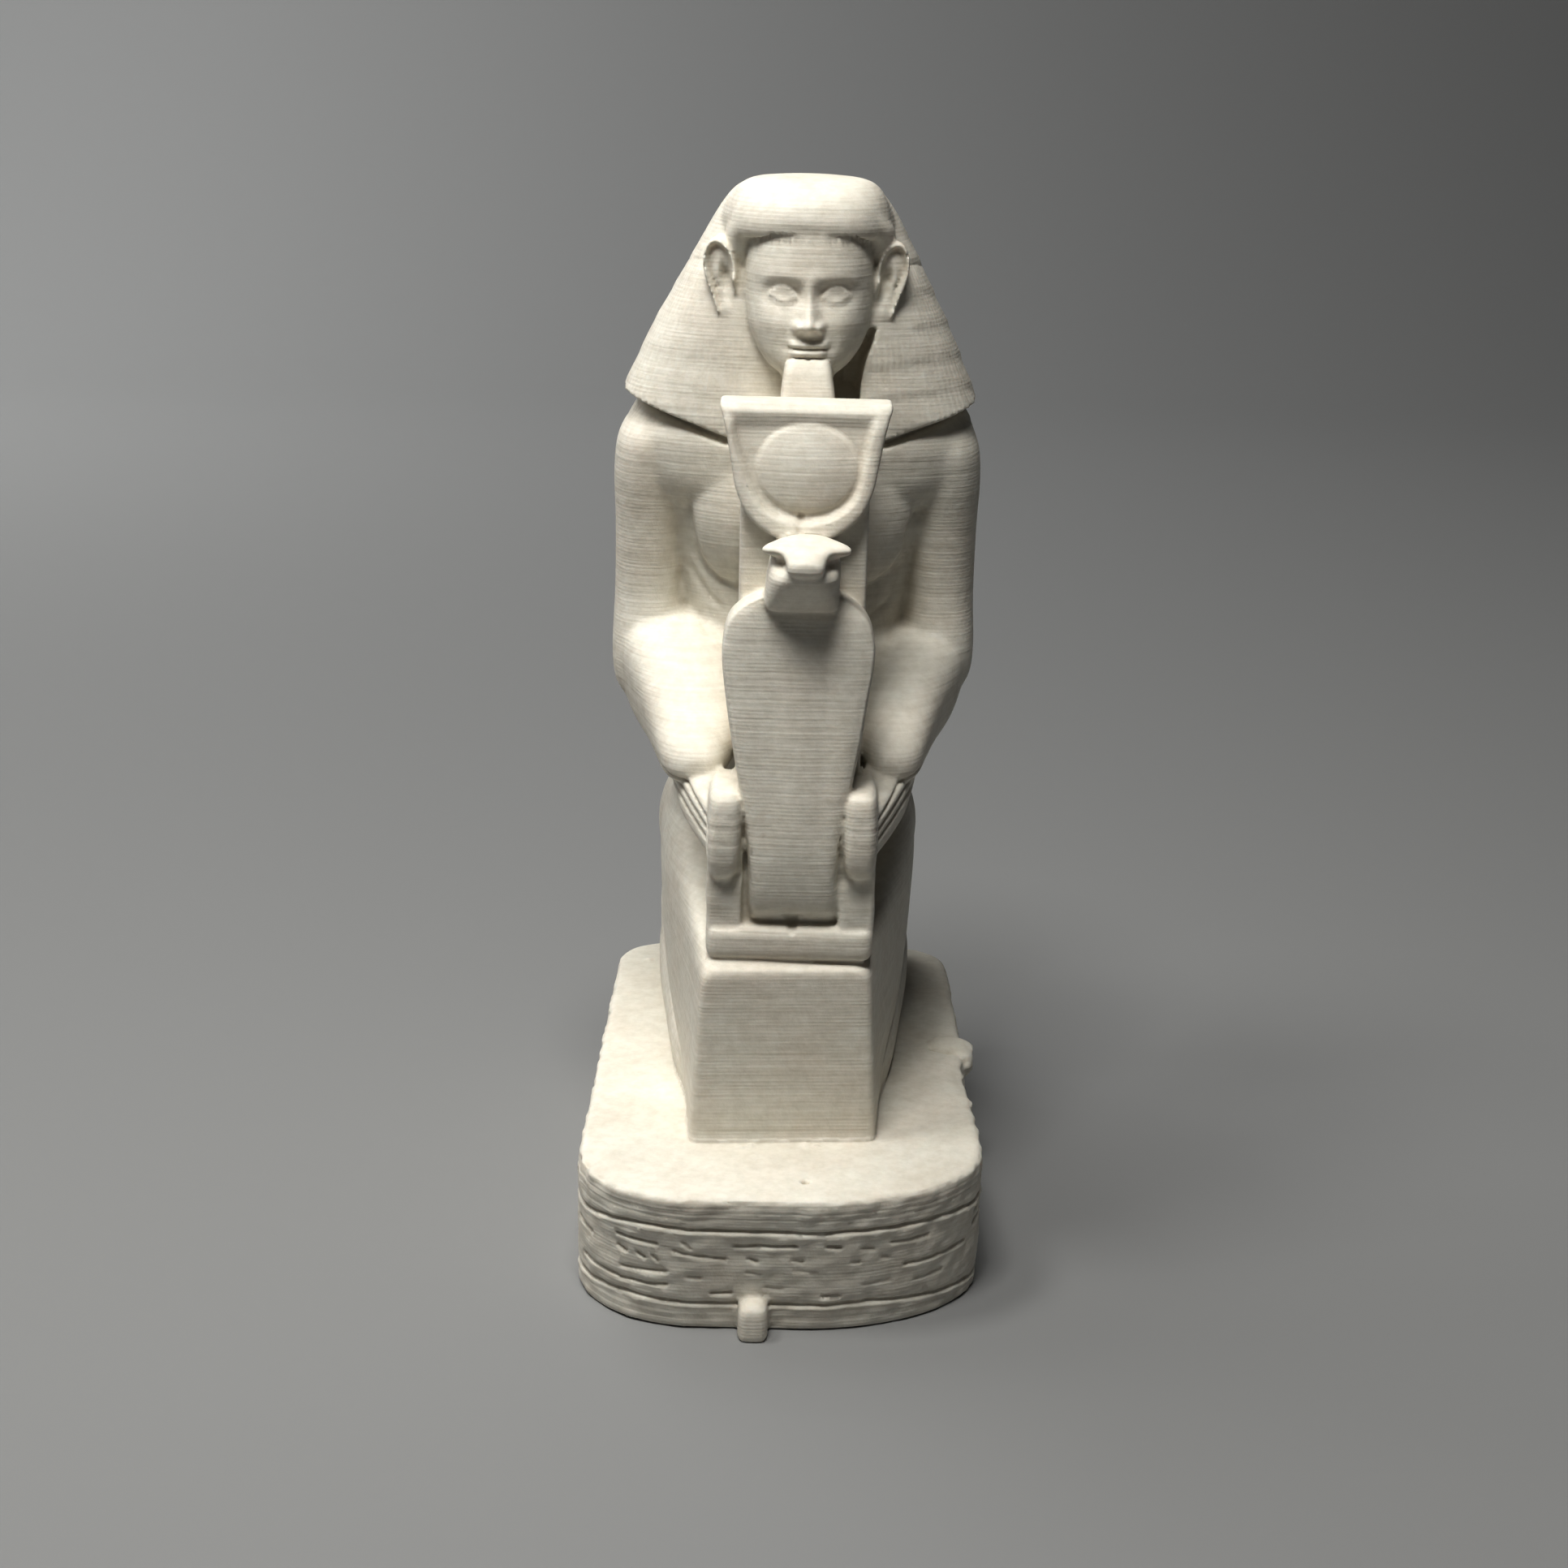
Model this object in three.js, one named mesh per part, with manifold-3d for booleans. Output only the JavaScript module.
// A small one-piece resin statuette: a kneeling figure in a long wig, on a base with rounded corners,
// holding before it a cobra with a horned disc that rises from a sign of two raised arms.
// Millimetres. The floor is z = 0, the figure faces -y, and the origin is under the base's middle.
import * as THREE from "three";
import { mergeVertices } from "three/addons/utils/BufferGeometryUtils.js";
import Module from "manifold-3d";

const wasm = await Module();
wasm.setup();

// Driving sizes
const HEIGHT = 120;
const LEAN = 0.6; // how far the head and the cobra stand to the right of the base's middle
const BASE = { halfWidth: 22.7, backHalfWidth: 21.8, front: -38, back: 37.4, height: 16.3 };
// Reach of each corner along x and y; the left front one is tighter than the right
const BASE_CORNERS = { frontLeft: [13.5, 12], frontRight: [21, 14.5], back: [6.8, 6.8] };
const BASE_EDGES = { softEdge: 0.7, lowEdge: 0.3 };
// The front wall leans back towards its foot, and the lean fades along the sides
const BASE_LEAN = { foot: 1.4, from: -30, until: -8 };
const STUB = { x: -2.7, front: -39.6, halfWidth: 1.7, height: 4.4, softEdge: 0.7 };
const FLAKE = { reach: 23.4, root: 20.7, y: 4, halfLength: 2.6, bottom: 13.4, top: 15.9, taper: 0.7 };
const SUNK = 1; // how far the legs' solid runs down into the base

// Corners on one ring of a skinned solid: level rings and upright ones
const SIDES = 20;
const UPRIGHT_SIDES = 20;
const BALL_SIDES = 16;
const BALL_ROWS = 9;
const CURVE_STEPS = 8; // points on each arc or curve of a flat outline

// How square a ring is where its table doesn't say: 2 is an ellipse, and 8 is nearly a rectangle
const ROUND = 2;
const SQUARENESS = { stub: 4, flake: 3, foot: 3.4, upperArm: 2.3, forearm: 2.8 };

// Sections of the trunk, from the hips up: height, half width, front, back, squareness
const TRUNK = [
  [40, 15, -0.5, 27.6, 2.6],
  [46, 14.2, 0, 26.4, 2.6],
  [51, 13, 0.8, 24.6, 2.5],
  [57, 12.3, 1.6, 23.2, 2.5],
  [63, 12.6, 1.9, 22.8, 2.5],
  [70, 13.6, 2.1, 23.2, 2.5],
  [77, 15, 1.6, 23.8, 2.5],
  [84, 16.4, 1.5, 24, 2.6],
  [90, 16.8, 3, 23.2, 2.5],
  [94, 14.6, 5, 21.2, 2.3],
  [98, 8.5, 5, 18, 2],
];
// Sections of the shoulders and the upper chest, written as the trunk's
const YOKE = [
  [82, 17.5, 3, 22, 2.6],
  [86, 19.6, 0.4, 23.4, 2.6],
  [90, 20.4, -0.3, 23.8, 2.6],
  [93.4, 19.2, -0.3, 23.6, 2.5],
  [97.5, 12, 4, 20, 2.2],
];
const CHEST = { x: 5.7, y: 6.4, z: 82.9, halfWidth: 7.6, halfDepth: 6.8, halfHeight: 10 };
// Sections of the folded legs, from the knees back: y, half width below and above, top, squareness
const LEGS = [
  [-23.4, 10.2, 9.2, 36.5, 11],
  [-22.4, 10.6, 9.5, 37.2, 11],
  [-14, 11.4, 10.9, 39.6, 9],
  [-5, 12.5, 13, 43, 6.5],
  [5, 13.7, 15.4, 46.8, 5],
  [14, 14.7, 16.2, 49.4, 4.2],
  [21, 15.4, 15.9, 48, 3.6],
  [26.5, 15.6, 14.6, 42.5, 3.2],
  [29.6, 14.8, 12, 37, 3],
  [31, 12.6, 9, 33.5, 2.8],
];
// Sections of one foot, from the shin back: y, middle, half width, top
const FOOT = [
  [8, 8, 7.2, 22.5],
  [18, 8.4, 7.8, 24.4],
  [26, 9, 8, 28.6],
  [33, 9.2, 7.8, 29.4],
  [35, 9.2, 7, 27],
];
// Sections of one upper arm, from the elbow up: height, middle, half width, y, half depth
const UPPER_ARM = [
  [58.8, 15.6, 3.3, 8.1, 3.2],
  [61.2, 16.6, 4.2, 8.5, 5.1],
  [65, 17.1, 4.25, 9.4, 6.2],
  [72, 17, 4.15, 10.7, 6.3],
  [80, 16.8, 4.35, 11.6, 7],
  [86, 16.5, 4.8, 12.1, 7.2],
  [90.5, 15.8, 4.9, 12.3, 6.9],
  [94.4, 13.6, 4.4, 12.3, 5.1],
];
const SHOULDER = { x: 15.4, y: 12.4, z: 88.4, halfWidth: 5.7, halfDepth: 7.2, halfHeight: 5.6 };
// Sections of one forearm, from the elbow forward: y, middle, half width, height, half height
const FOREARM = [
  [14.6, 16.4, 2.8, 63.7, 3.6],
  [12, 16.3, 4.6, 63.9, 5.3],
  [8.4, 14.9, 5.7, 63.7, 6.4],
  [3.4, 13.2, 6.3, 62.6, 6.8],
  [-2.6, 11.9, 5.4, 60.5, 5.6],
  [-7.6, 11.2, 4.5, 58.5, 4.3],
  [-11, 11, 3.5, 57.5, 3.1],
  [-13.6, 10.8, 1.6, 57.1, 1.4],
];
// Sections of one flat hand, from the wrist forward, written as the forearm's
const HAND = [
  [-3, 12.3, 2.6, 57.8, 2.4],
  [-8, 11.3, 2.7, 56.3, 2.5],
  [-12, 10.4, 2.5, 54.9, 2.6],
  [-16, 9.2, 2.2, 53.5, 2.7],
  [-20, 7.9, 1.8, 52.2, 2.7],
  [-21.8, 7.3, 1.6, 52, 2.4],
];
// Sections of the wig, from below its lower edge up: height, half width, front, back, squareness
const WIG = [
  [90, 22.6, -1.1, 25, 3],
  [95.2, 20.45, -0.9, 25, 3],
  [98.7, 18.85, -0.5, 24.9, 3],
  [102.6, 17.1, -0.2, 24.6, 3],
  [106.2, 15.2, 0.2, 24, 3],
  [110, 13.2, 0.8, 22.6, 2.9],
  [113.2, 11.5, 0, 20.8, 2.8],
  [114.2, 10.8, -4, 20.2, 2.7],
  [116.2, 9.75, -4.3, 18.4, 2.6],
  [118.2, 8.1, -2.8, 15.8, 2.4],
  [119.4, 6, 0.4, 13.2, 2.3],
];
// The lower edge is level in the middle and rises outwards
const WIG_HEM = { height: 91.7, levelReach: 9, rise: 0.325, spare: 12 };
const WIG_TOP = { halfWidth: 3.6, front: 3, back: 11 };
const CHIN_HOLLOW = { halfWidth: 5.4, front: -4, back: 3, bottom: 95.2, top: 99.4 };
// Sections of the head, from the chin up: height, half width, front, squareness
const HEAD = [
  [98.9, 3.1, -4.4, 2.1],
  [100.2, 4.6, -5.3, 2.2],
  [102.6, 6.4, -5.3, 2.3],
  [106, 7.1, -5, 2.4],
  [110, 7.1, -4.7, 2.4],
  [115, 6.9, -3.9, 2.4],
];
const HEAD_BACK = 10;
// Sections of the nose, from below up: height, half width, front
const NOSE = [
  [103.2, 0.9, -5.2],
  [104.4, 1.7, -7.2],
  [109.4, 0.8, -5.2],
];
const EAR = { x: 9.7, y: 1.5, z: 108.6, halfWidth: 1.9, halfDepth: 2.2, halfHeight: 4.6 };
// Sections of the beard, from below up: height, half width, front
const BEARD = [
  [93, 3.25, -9.8],
  [96.4, 3.05, -8.9],
  [99, 2.75, -7.9],
  [101.2, 2.35, -6.6],
];
const BEARD_FORM = { back: -1, squareness: 8 };
const NECK = { halfWidth: 5.6, front: 2.4, back: 16, bottom: 90, top: 101 };

// The sign of two raised arms, and the fuller hand that ends each arm: height, fullness
const SIGN = { halfWidth: 9.2, bottom: 37.5, bar: 41.5, top: 56.9, arm: 3.9, front: -22.6, back: -9 };
const SIGN_ARM_SET_BACK = 0.7;
const SIGN_FILL = { setBack: 2.2, inset: 1, top: 52 };
const SIGN_HAND = { halfWidth: 1.95, proud: 1.1, depth: 6, squareness: 4 };
const SIGN_HAND_SECTIONS = [
  [46.8, 0.5],
  [47.6, 0.85],
  [49, 1],
  [56, 1],
  [56.9, 0.8],
];
// Sections of the cobra's hood, from its foot up: height, half width, front
const HOOD = [
  [41.2, 5.3, -20.2],
  [43.6, 5, -22.4],
  [45.6, 4.9, -23.1],
  [49, 4.95, -23.4],
  [55, 5.75, -23.1],
  [59.4, 6.5, -22.7],
  [67, 7.65, -22],
  [71, 8.15, -21.6],
  [73.4, 8.1, -21.4],
  [75.5, 7.5, -21.2],
  [77.2, 6, -21],
  [78.6, 3, -20.8],
];
const HOOD_FORM = { x: 0.45, back: -12, squareness: 8 };
// Sections of the cobra's head, from the throat up: height, half width, front
const SNAKE_HEAD = [
  [76.9, 3.8, -22.2],
  [80, 3.9, -24.6],
  [82, 3.9, -26.2],
  [83.4, 4.6, -25.2],
  [84.6, 4.4, -23.8],
  [85.5, 3, -21.8],
];
const SNAKE_HEAD_FORM = { x: 0.9, back: -13, squareness: 2.8 };
// The crown: two horns as a raised rim around a disc, on a plate that leans back
const CROWN = { bottom: 83.6, top: 97.7, shoulder: 91, front: -17.4, back: -12.2, lean: 0.17 };
const CROWN_HALF_WIDTH = { top: 9.4, middle: 8.1, low: 9.4 };
const DISC = { z: 91.1, halfWidth: 5.6, halfDepth: 0.9, halfHeight: 4.75 };
const HORN = { width: 1.4, proud: 0.8 };
const WEB = { halfWidth: 6.9, front: -15.4, back: 6, bottom: 36, top: 95.4 };

// A closed geometry as a solid, turned to face outwards
function solidOf(geometry) {
  geometry.deleteAttribute("normal");
  geometry.deleteAttribute("uv");
  const merged = mergeVertices(geometry, 1e-4);
  const vertProperties = merged.attributes.position.array;
  const triVerts = new Uint32Array(merged.index.array);
  const solid = new wasm.Manifold(new wasm.Mesh({ numProp: 3, vertProperties, triVerts }));
  if (solid.volume() > 0) return solid;
  triVerts.reverse();
  return new wasm.Manifold(new wasm.Mesh({ numProp: 3, vertProperties, triVerts }));
}

function middleOf(ring) {
  const sum = new THREE.Vector3();
  ring.forEach((point) => sum.add(point));
  return sum.divideScalar(ring.length);
}

// A solid skinned over rings of equal length, made by reshaping a cylinder row by row
function skin(rings) {
  const around = rings[0].length;
  const last = rings.length - 1;
  const geometry = new THREE.CylinderGeometry(1, 1, 1, around, last, false);
  const place = geometry.attributes.position;
  for (let i = 0; i < place.count; i++) {
    const row = Math.round((0.5 + place.getY(i)) * last);
    const turn = Math.atan2(place.getX(i), place.getZ(i)) / (2 * Math.PI);
    const column = (Math.round(turn * around) + around) % around;
    const onAxis = Math.hypot(place.getX(i), place.getZ(i)) < 0.5;
    const point = onAxis ? middleOf(rings[row]) : rings[row][column];
    place.setXYZ(i, point.x, point.y, point.z);
  }
  return solidOf(geometry);
}

// The rows of a table with one smooth row put in between each two
function smoothRows(table) {
  const places = table.map((row, i) => i);
  const curve = new THREE.CubicInterpolant(places, table.flat(), table[0].length);
  const count = 2 * table.length - 1;
  return Array.from({ length: count }, (_, i) => [...curve.evaluate(i / 2)]);
}

// The unit outline between an ellipse (squareness 2) and a rectangle
function superellipse(squareness, sides) {
  const bend = (value) => Math.sign(value) * Math.abs(value) ** (2 / squareness);
  const angles = Array.from({ length: sides }, (_, i) => (i / sides) * 2 * Math.PI);
  return angles.map((angle) => new THREE.Vector2(bend(Math.cos(angle)), bend(Math.sin(angle))));
}

// A ring at one height, between a front and a back
function levelRing(x, z, halfWidth, front, back, squareness) {
  const y = (front + back) / 2;
  const halfDepth = (back - front) / 2;
  return superellipse(squareness, SIDES).map(
    (unit) => new THREE.Vector3(x + unit.x * halfWidth, y + unit.y * halfDepth, z),
  );
}

// A ring at one y, between a bottom and a top, wider above than below by twice the flare
function uprightRing(x, y, halfWidth, bottom, top, squareness, flare = 0) {
  const z = (bottom + top) / 2;
  const halfHeight = (top - bottom) / 2;
  return superellipse(squareness, UPRIGHT_SIDES).map(
    (unit) => new THREE.Vector3(x + unit.x * (halfWidth + flare * unit.y), y, z + unit.y * halfHeight),
  );
}

// A geometry that leans towards the back by a share of its height over a level
function leaning(geometry, level, lean) {
  const shear = new THREE.Matrix4().makeShear(0, 0, 0, 0, 0, lean);
  return geometry.translate(0, 0, -level).applyMatrix4(shear).translate(0, 0, level);
}

// A flat outline in the x-z plane, given thickness along y
function plate(outline, front, back) {
  const options = { depth: back - front, bevelEnabled: false };
  const geometry = new THREE.ExtrudeGeometry(new THREE.Shape(outline), options);
  return geometry.rotateX(Math.PI / 2).translate(0, back, 0);
}

function box(x0, x1, y0, y1, z0, z1) {
  const geometry = new THREE.BoxGeometry(Math.abs(x1 - x0), y1 - y0, z1 - z0);
  return solidOf(geometry.translate((x0 + x1) / 2, (y0 + y1) / 2, (z0 + z1) / 2));
}

function ball({ x, y, z, halfWidth, halfDepth, halfHeight }) {
  const geometry = new THREE.SphereGeometry(1, BALL_SIDES, BALL_ROWS).rotateX(Math.PI / 2);
  return geometry.scale(halfWidth, halfDepth, halfHeight).translate(x, y, z);
}

// The same ball on the left or the right, mirrored about a middle
function ballOn(side, middle, sizes) {
  return solidOf(ball({ ...sizes, x: middle + side * sizes.x }));
}

function joined(solids) {
  return solids.reduce((whole, solid) => whole.add(solid));
}

// The base's plan, shrunk by an inset, as four corner arcs
function basePlan(inset) {
  const { frontLeft, frontRight, back } = BASE_CORNERS;
  const corners = [
    { reach: frontRight, x: BASE.halfWidth, y: BASE.front, sideX: 1, sideY: -1 },
    { reach: back, x: BASE.backHalfWidth, y: BASE.back, sideX: 1, sideY: 1 },
    { reach: back, x: BASE.backHalfWidth, y: BASE.back, sideX: -1, sideY: 1 },
    { reach: frontLeft, x: BASE.halfWidth, y: BASE.front, sideX: -1, sideY: -1 },
  ];
  const plan = new THREE.Shape();
  corners.forEach(({ reach: [reachX, reachY], x, y, sideX, sideY }, i) => {
    const start = (i - 1) * (Math.PI / 2);
    plan.absellipse(sideX * (x - reachX), y - sideY * reachY, reachX - inset, reachY - inset,
      start, start + Math.PI / 2, false);
  });
  return plan.getPoints(CURVE_STEPS);
}

// How far the wall has moved back at a height, for a place in the plan with that y
function wallLean(y, z) {
  const { foot, from, until } = BASE_LEAN;
  return foot * (1 - z / BASE.height) * (1 - THREE.MathUtils.smoothstep(y, from, until));
}

function makeBase() {
  const { softEdge, lowEdge } = BASE_EDGES;
  const levels = [
    [0, lowEdge],
    [2 * lowEdge, 0],
    [BASE.height - softEdge, 0],
    [BASE.height - softEdge / 3, softEdge / 3],
    [BASE.height, softEdge],
  ];
  return skin(
    levels.map(([z, inset]) =>
      basePlan(inset).map((p) => new THREE.Vector3(p.x, p.y + wallLean(p.y, z), z)),
    ),
  );
}

// The stub that a printing support left at the foot of the front
function makeStub() {
  const { x, front, halfWidth, height, softEdge } = STUB;
  const levels = [
    [0, 0],
    [height - softEdge, 0],
    [height, softEdge],
  ];
  return skin(
    levels.map(([z, inset]) =>
      levelRing(x, z, halfWidth - inset, front + inset, BASE.front + height, SQUARENESS.stub),
    ),
  );
}

// The flake that stands out of the right edge
function makeFlake() {
  const { root, reach, y, halfLength, bottom, top, taper } = FLAKE;
  const levels = [
    [bottom, reach - taper],
    [(bottom + top) / 2, reach],
    [top, reach],
  ];
  return skin(
    levels.map(([z, edge]) =>
      levelRing(root, z, edge - root, y - halfLength, y + halfLength, SQUARENESS.flake),
    ),
  );
}

function makeLegs() {
  const bottom = BASE.height - SUNK;
  return skin(
    smoothRows(LEGS).map(([y, below, above, top, squareness]) =>
      uprightRing(0, y, (below + above) / 2, bottom, top, squareness, (above - below) / 2),
    ),
  );
}

function makeFoot(side) {
  const bottom = BASE.height - SUNK;
  return skin(
    FOOT.map(([y, middle, half, top]) =>
      uprightRing(side * middle, y, half, bottom, top, SQUARENESS.foot),
    ),
  );
}

function makeTrunk() {
  const parts = [TRUNK, YOKE].map((table) =>
    skin(
      smoothRows(table).map(([height, half, front, back, squareness]) =>
        levelRing(0, height, half, front, back, squareness),
      ),
    ),
  );
  return joined([...parts, ballOn(-1, 0, CHEST), ballOn(1, 0, CHEST)]);
}

function makeArm(side) {
  const upper = smoothRows(UPPER_ARM).map(([z, middle, half, y, halfDepth]) =>
    levelRing(side * middle, z, half, y - halfDepth, y + halfDepth, SQUARENESS.upperArm),
  );
  const [lower, hand] = [FOREARM, HAND].map((table) =>
    smoothRows(table).map(([y, middle, half, z, halfHeight]) =>
      uprightRing(side * middle, y, half, z - halfHeight, z + halfHeight, SQUARENESS.forearm),
    ),
  );
  return joined([skin(upper), skin(lower), skin(hand), ballOn(side, 0, SHOULDER)]);
}

// What lies below the wig's lower edge, on one side of the middle
function belowHem(side) {
  const { height, levelReach, rise, spare } = WIG_HEM;
  const geometry = new THREE.BoxGeometry(4 * spare, 6 * spare, spare).translate(0, 0, -spare / 2);
  const turned = geometry.rotateY(-side * Math.atan(rise));
  return solidOf(turned.translate(LEAN + side * levelReach, 0, height));
}

function makeWig() {
  const rings = smoothRows(WIG).map(([z, half, front, back, squareness]) =>
    levelRing((LEAN * z) / HEIGHT, z, half, front, back, squareness),
  );
  rings.push(levelRing(LEAN, HEIGHT, WIG_TOP.halfWidth, WIG_TOP.front, WIG_TOP.back, ROUND));
  const { halfWidth, front, back, bottom, top } = CHIN_HOLLOW;
  const { height, levelReach, spare } = WIG_HEM;
  const left = LEAN - levelReach;
  const right = LEAN + levelReach;
  const underside = box(left, right, -3 * spare, 3 * spare, height - spare, height);
  const hollow = box(LEAN - halfWidth, LEAN + halfWidth, front, back, bottom, top);
  return skin(rings).subtract(joined([underside, belowHem(-1), belowHem(1), hollow]));
}

function makeHead() {
  const face = smoothRows(HEAD).map(([z, half, front, squareness]) =>
    levelRing(LEAN, z, half, front, HEAD_BACK, squareness),
  );
  const nose = NOSE.map(([z, half, front]) => levelRing(LEAN, z, half, front, 0, ROUND));
  const beard = BEARD.map(([z, half, front]) =>
    levelRing(LEAN, z, half, front, BEARD_FORM.back, BEARD_FORM.squareness),
  );
  const neck = [NECK.bottom, NECK.top].map((z) =>
    levelRing(LEAN, z, NECK.halfWidth, NECK.front, NECK.back, ROUND),
  );
  const ears = [-1, 1].map((side) => ballOn(side, LEAN, EAR));
  return joined([skin(face), skin(nose), skin(beard), skin(neck), ...ears]);
}

// One raised arm of the sign, with its hand
function makeSignArm(side) {
  const x = LEAN / 2;
  const outer = x + side * SIGN.halfWidth;
  const inner = outer - side * SIGN.arm;
  const front = SIGN.front + SIGN_ARM_SET_BACK;
  const arm = box(inner, outer, front, SIGN.back, SIGN.bar - SUNK, SIGN.top - SUNK);
  const { halfWidth, proud, depth, squareness } = SIGN_HAND;
  const hand = SIGN_HAND_SECTIONS.map(([z, full]) =>
    levelRing((outer + inner) / 2, z, halfWidth * full, SIGN.front - proud * full,
      SIGN.front + depth, squareness),
  );
  return joined([arm, skin(hand)]);
}

function makeSign() {
  const x = LEAN / 2;
  const { halfWidth, front, back, bottom, bar } = SIGN;
  const { setBack, inset, top } = SIGN_FILL;
  const foot = box(x - halfWidth, x + halfWidth, front, back, bottom, bar);
  const reach = halfWidth - inset;
  const fill = box(x - reach, x + reach, front + setBack, back, bottom + inset, top);
  return joined([foot, fill, makeSignArm(-1), makeSignArm(1)]);
}

function makeCobra() {
  const hood = HOOD.map(([z, half, front]) =>
    levelRing(HOOD_FORM.x, z, half, front, HOOD_FORM.back, HOOD_FORM.squareness),
  );
  const head = SNAKE_HEAD.map(([z, half, front]) =>
    levelRing(SNAKE_HEAD_FORM.x, z, half, front, SNAKE_HEAD_FORM.back, SNAKE_HEAD_FORM.squareness),
  );
  return joined([skin(hood), skin(head)]);
}

// The crown's outline: straight sides that curve in to a round foot
function crownOutline(inset) {
  const top = CROWN.top - inset / 2;
  const low = CROWN.bottom + inset;
  const half = CROWN_HALF_WIDTH;
  const outline = new THREE.Shape();
  outline.moveTo(LEAN - half.top + inset, top);
  outline.bezierCurveTo(
    LEAN - half.middle + inset, CROWN.shoulder, LEAN - half.low + inset, low, LEAN, low);
  outline.bezierCurveTo(
    LEAN + half.low - inset, low, LEAN + half.middle - inset, CROWN.shoulder,
    LEAN + half.top - inset, top);
  return outline.getPoints(CURVE_STEPS);
}

function makeCrown() {
  const { front, back, bottom, lean } = CROWN;
  const [slab, rim, field, disc] = [
    plate(crownOutline(0), front, back),
    plate(crownOutline(0), front - HORN.proud, front + HORN.proud),
    plate(crownOutline(HORN.width), front - 2 * HORN.proud, front),
    ball({ x: LEAN, y: front, ...DISC }),
  ].map((geometry) => solidOf(leaning(geometry, bottom, lean)));
  return joined([slab, rim.subtract(field), disc]);
}

// The stone-like web that joins the cobra and the crown to the chest
function makeWeb() {
  const { halfWidth, front, back, bottom, top } = WEB;
  return box(LEAN - halfWidth, LEAN + halfWidth, front, back, bottom, top);
}

// The finished solid as a named mesh
function meshOf(solid, name, material) {
  const { numProp, numVert, vertProperties, triVerts } = solid.getMesh();
  const position = new Float32Array(numVert * 3);
  for (let i = 0; i < numVert; i++) {
    position.set(vertProperties.subarray(i * numProp, i * numProp + 3), i * 3);
  }
  const geometry = new THREE.BufferGeometry();
  geometry.setAttribute("position", new THREE.BufferAttribute(position, 3));
  geometry.setIndex(new THREE.BufferAttribute(triVerts, 1));
  const mesh = new THREE.Mesh(geometry, material);
  mesh.name = name;
  return mesh;
}

const statuette = joined([
  makeBase(),
  makeStub(),
  makeFlake(),
  makeLegs(),
  makeFoot(-1),
  makeFoot(1),
  makeTrunk(),
  makeArm(-1),
  makeArm(1),
  makeWig(),
  makeHead(),
  makeSign(),
  makeCobra(),
  makeCrown(),
  makeWeb(),
]);
const ivoryResin = new THREE.MeshStandardMaterial({ color: 0xd6d0c4, roughness: 0.6, metalness: 0 });

const model = new THREE.Group();
model.add(meshOf(statuette, "kneeling_figure", ivoryResin));

export default model;
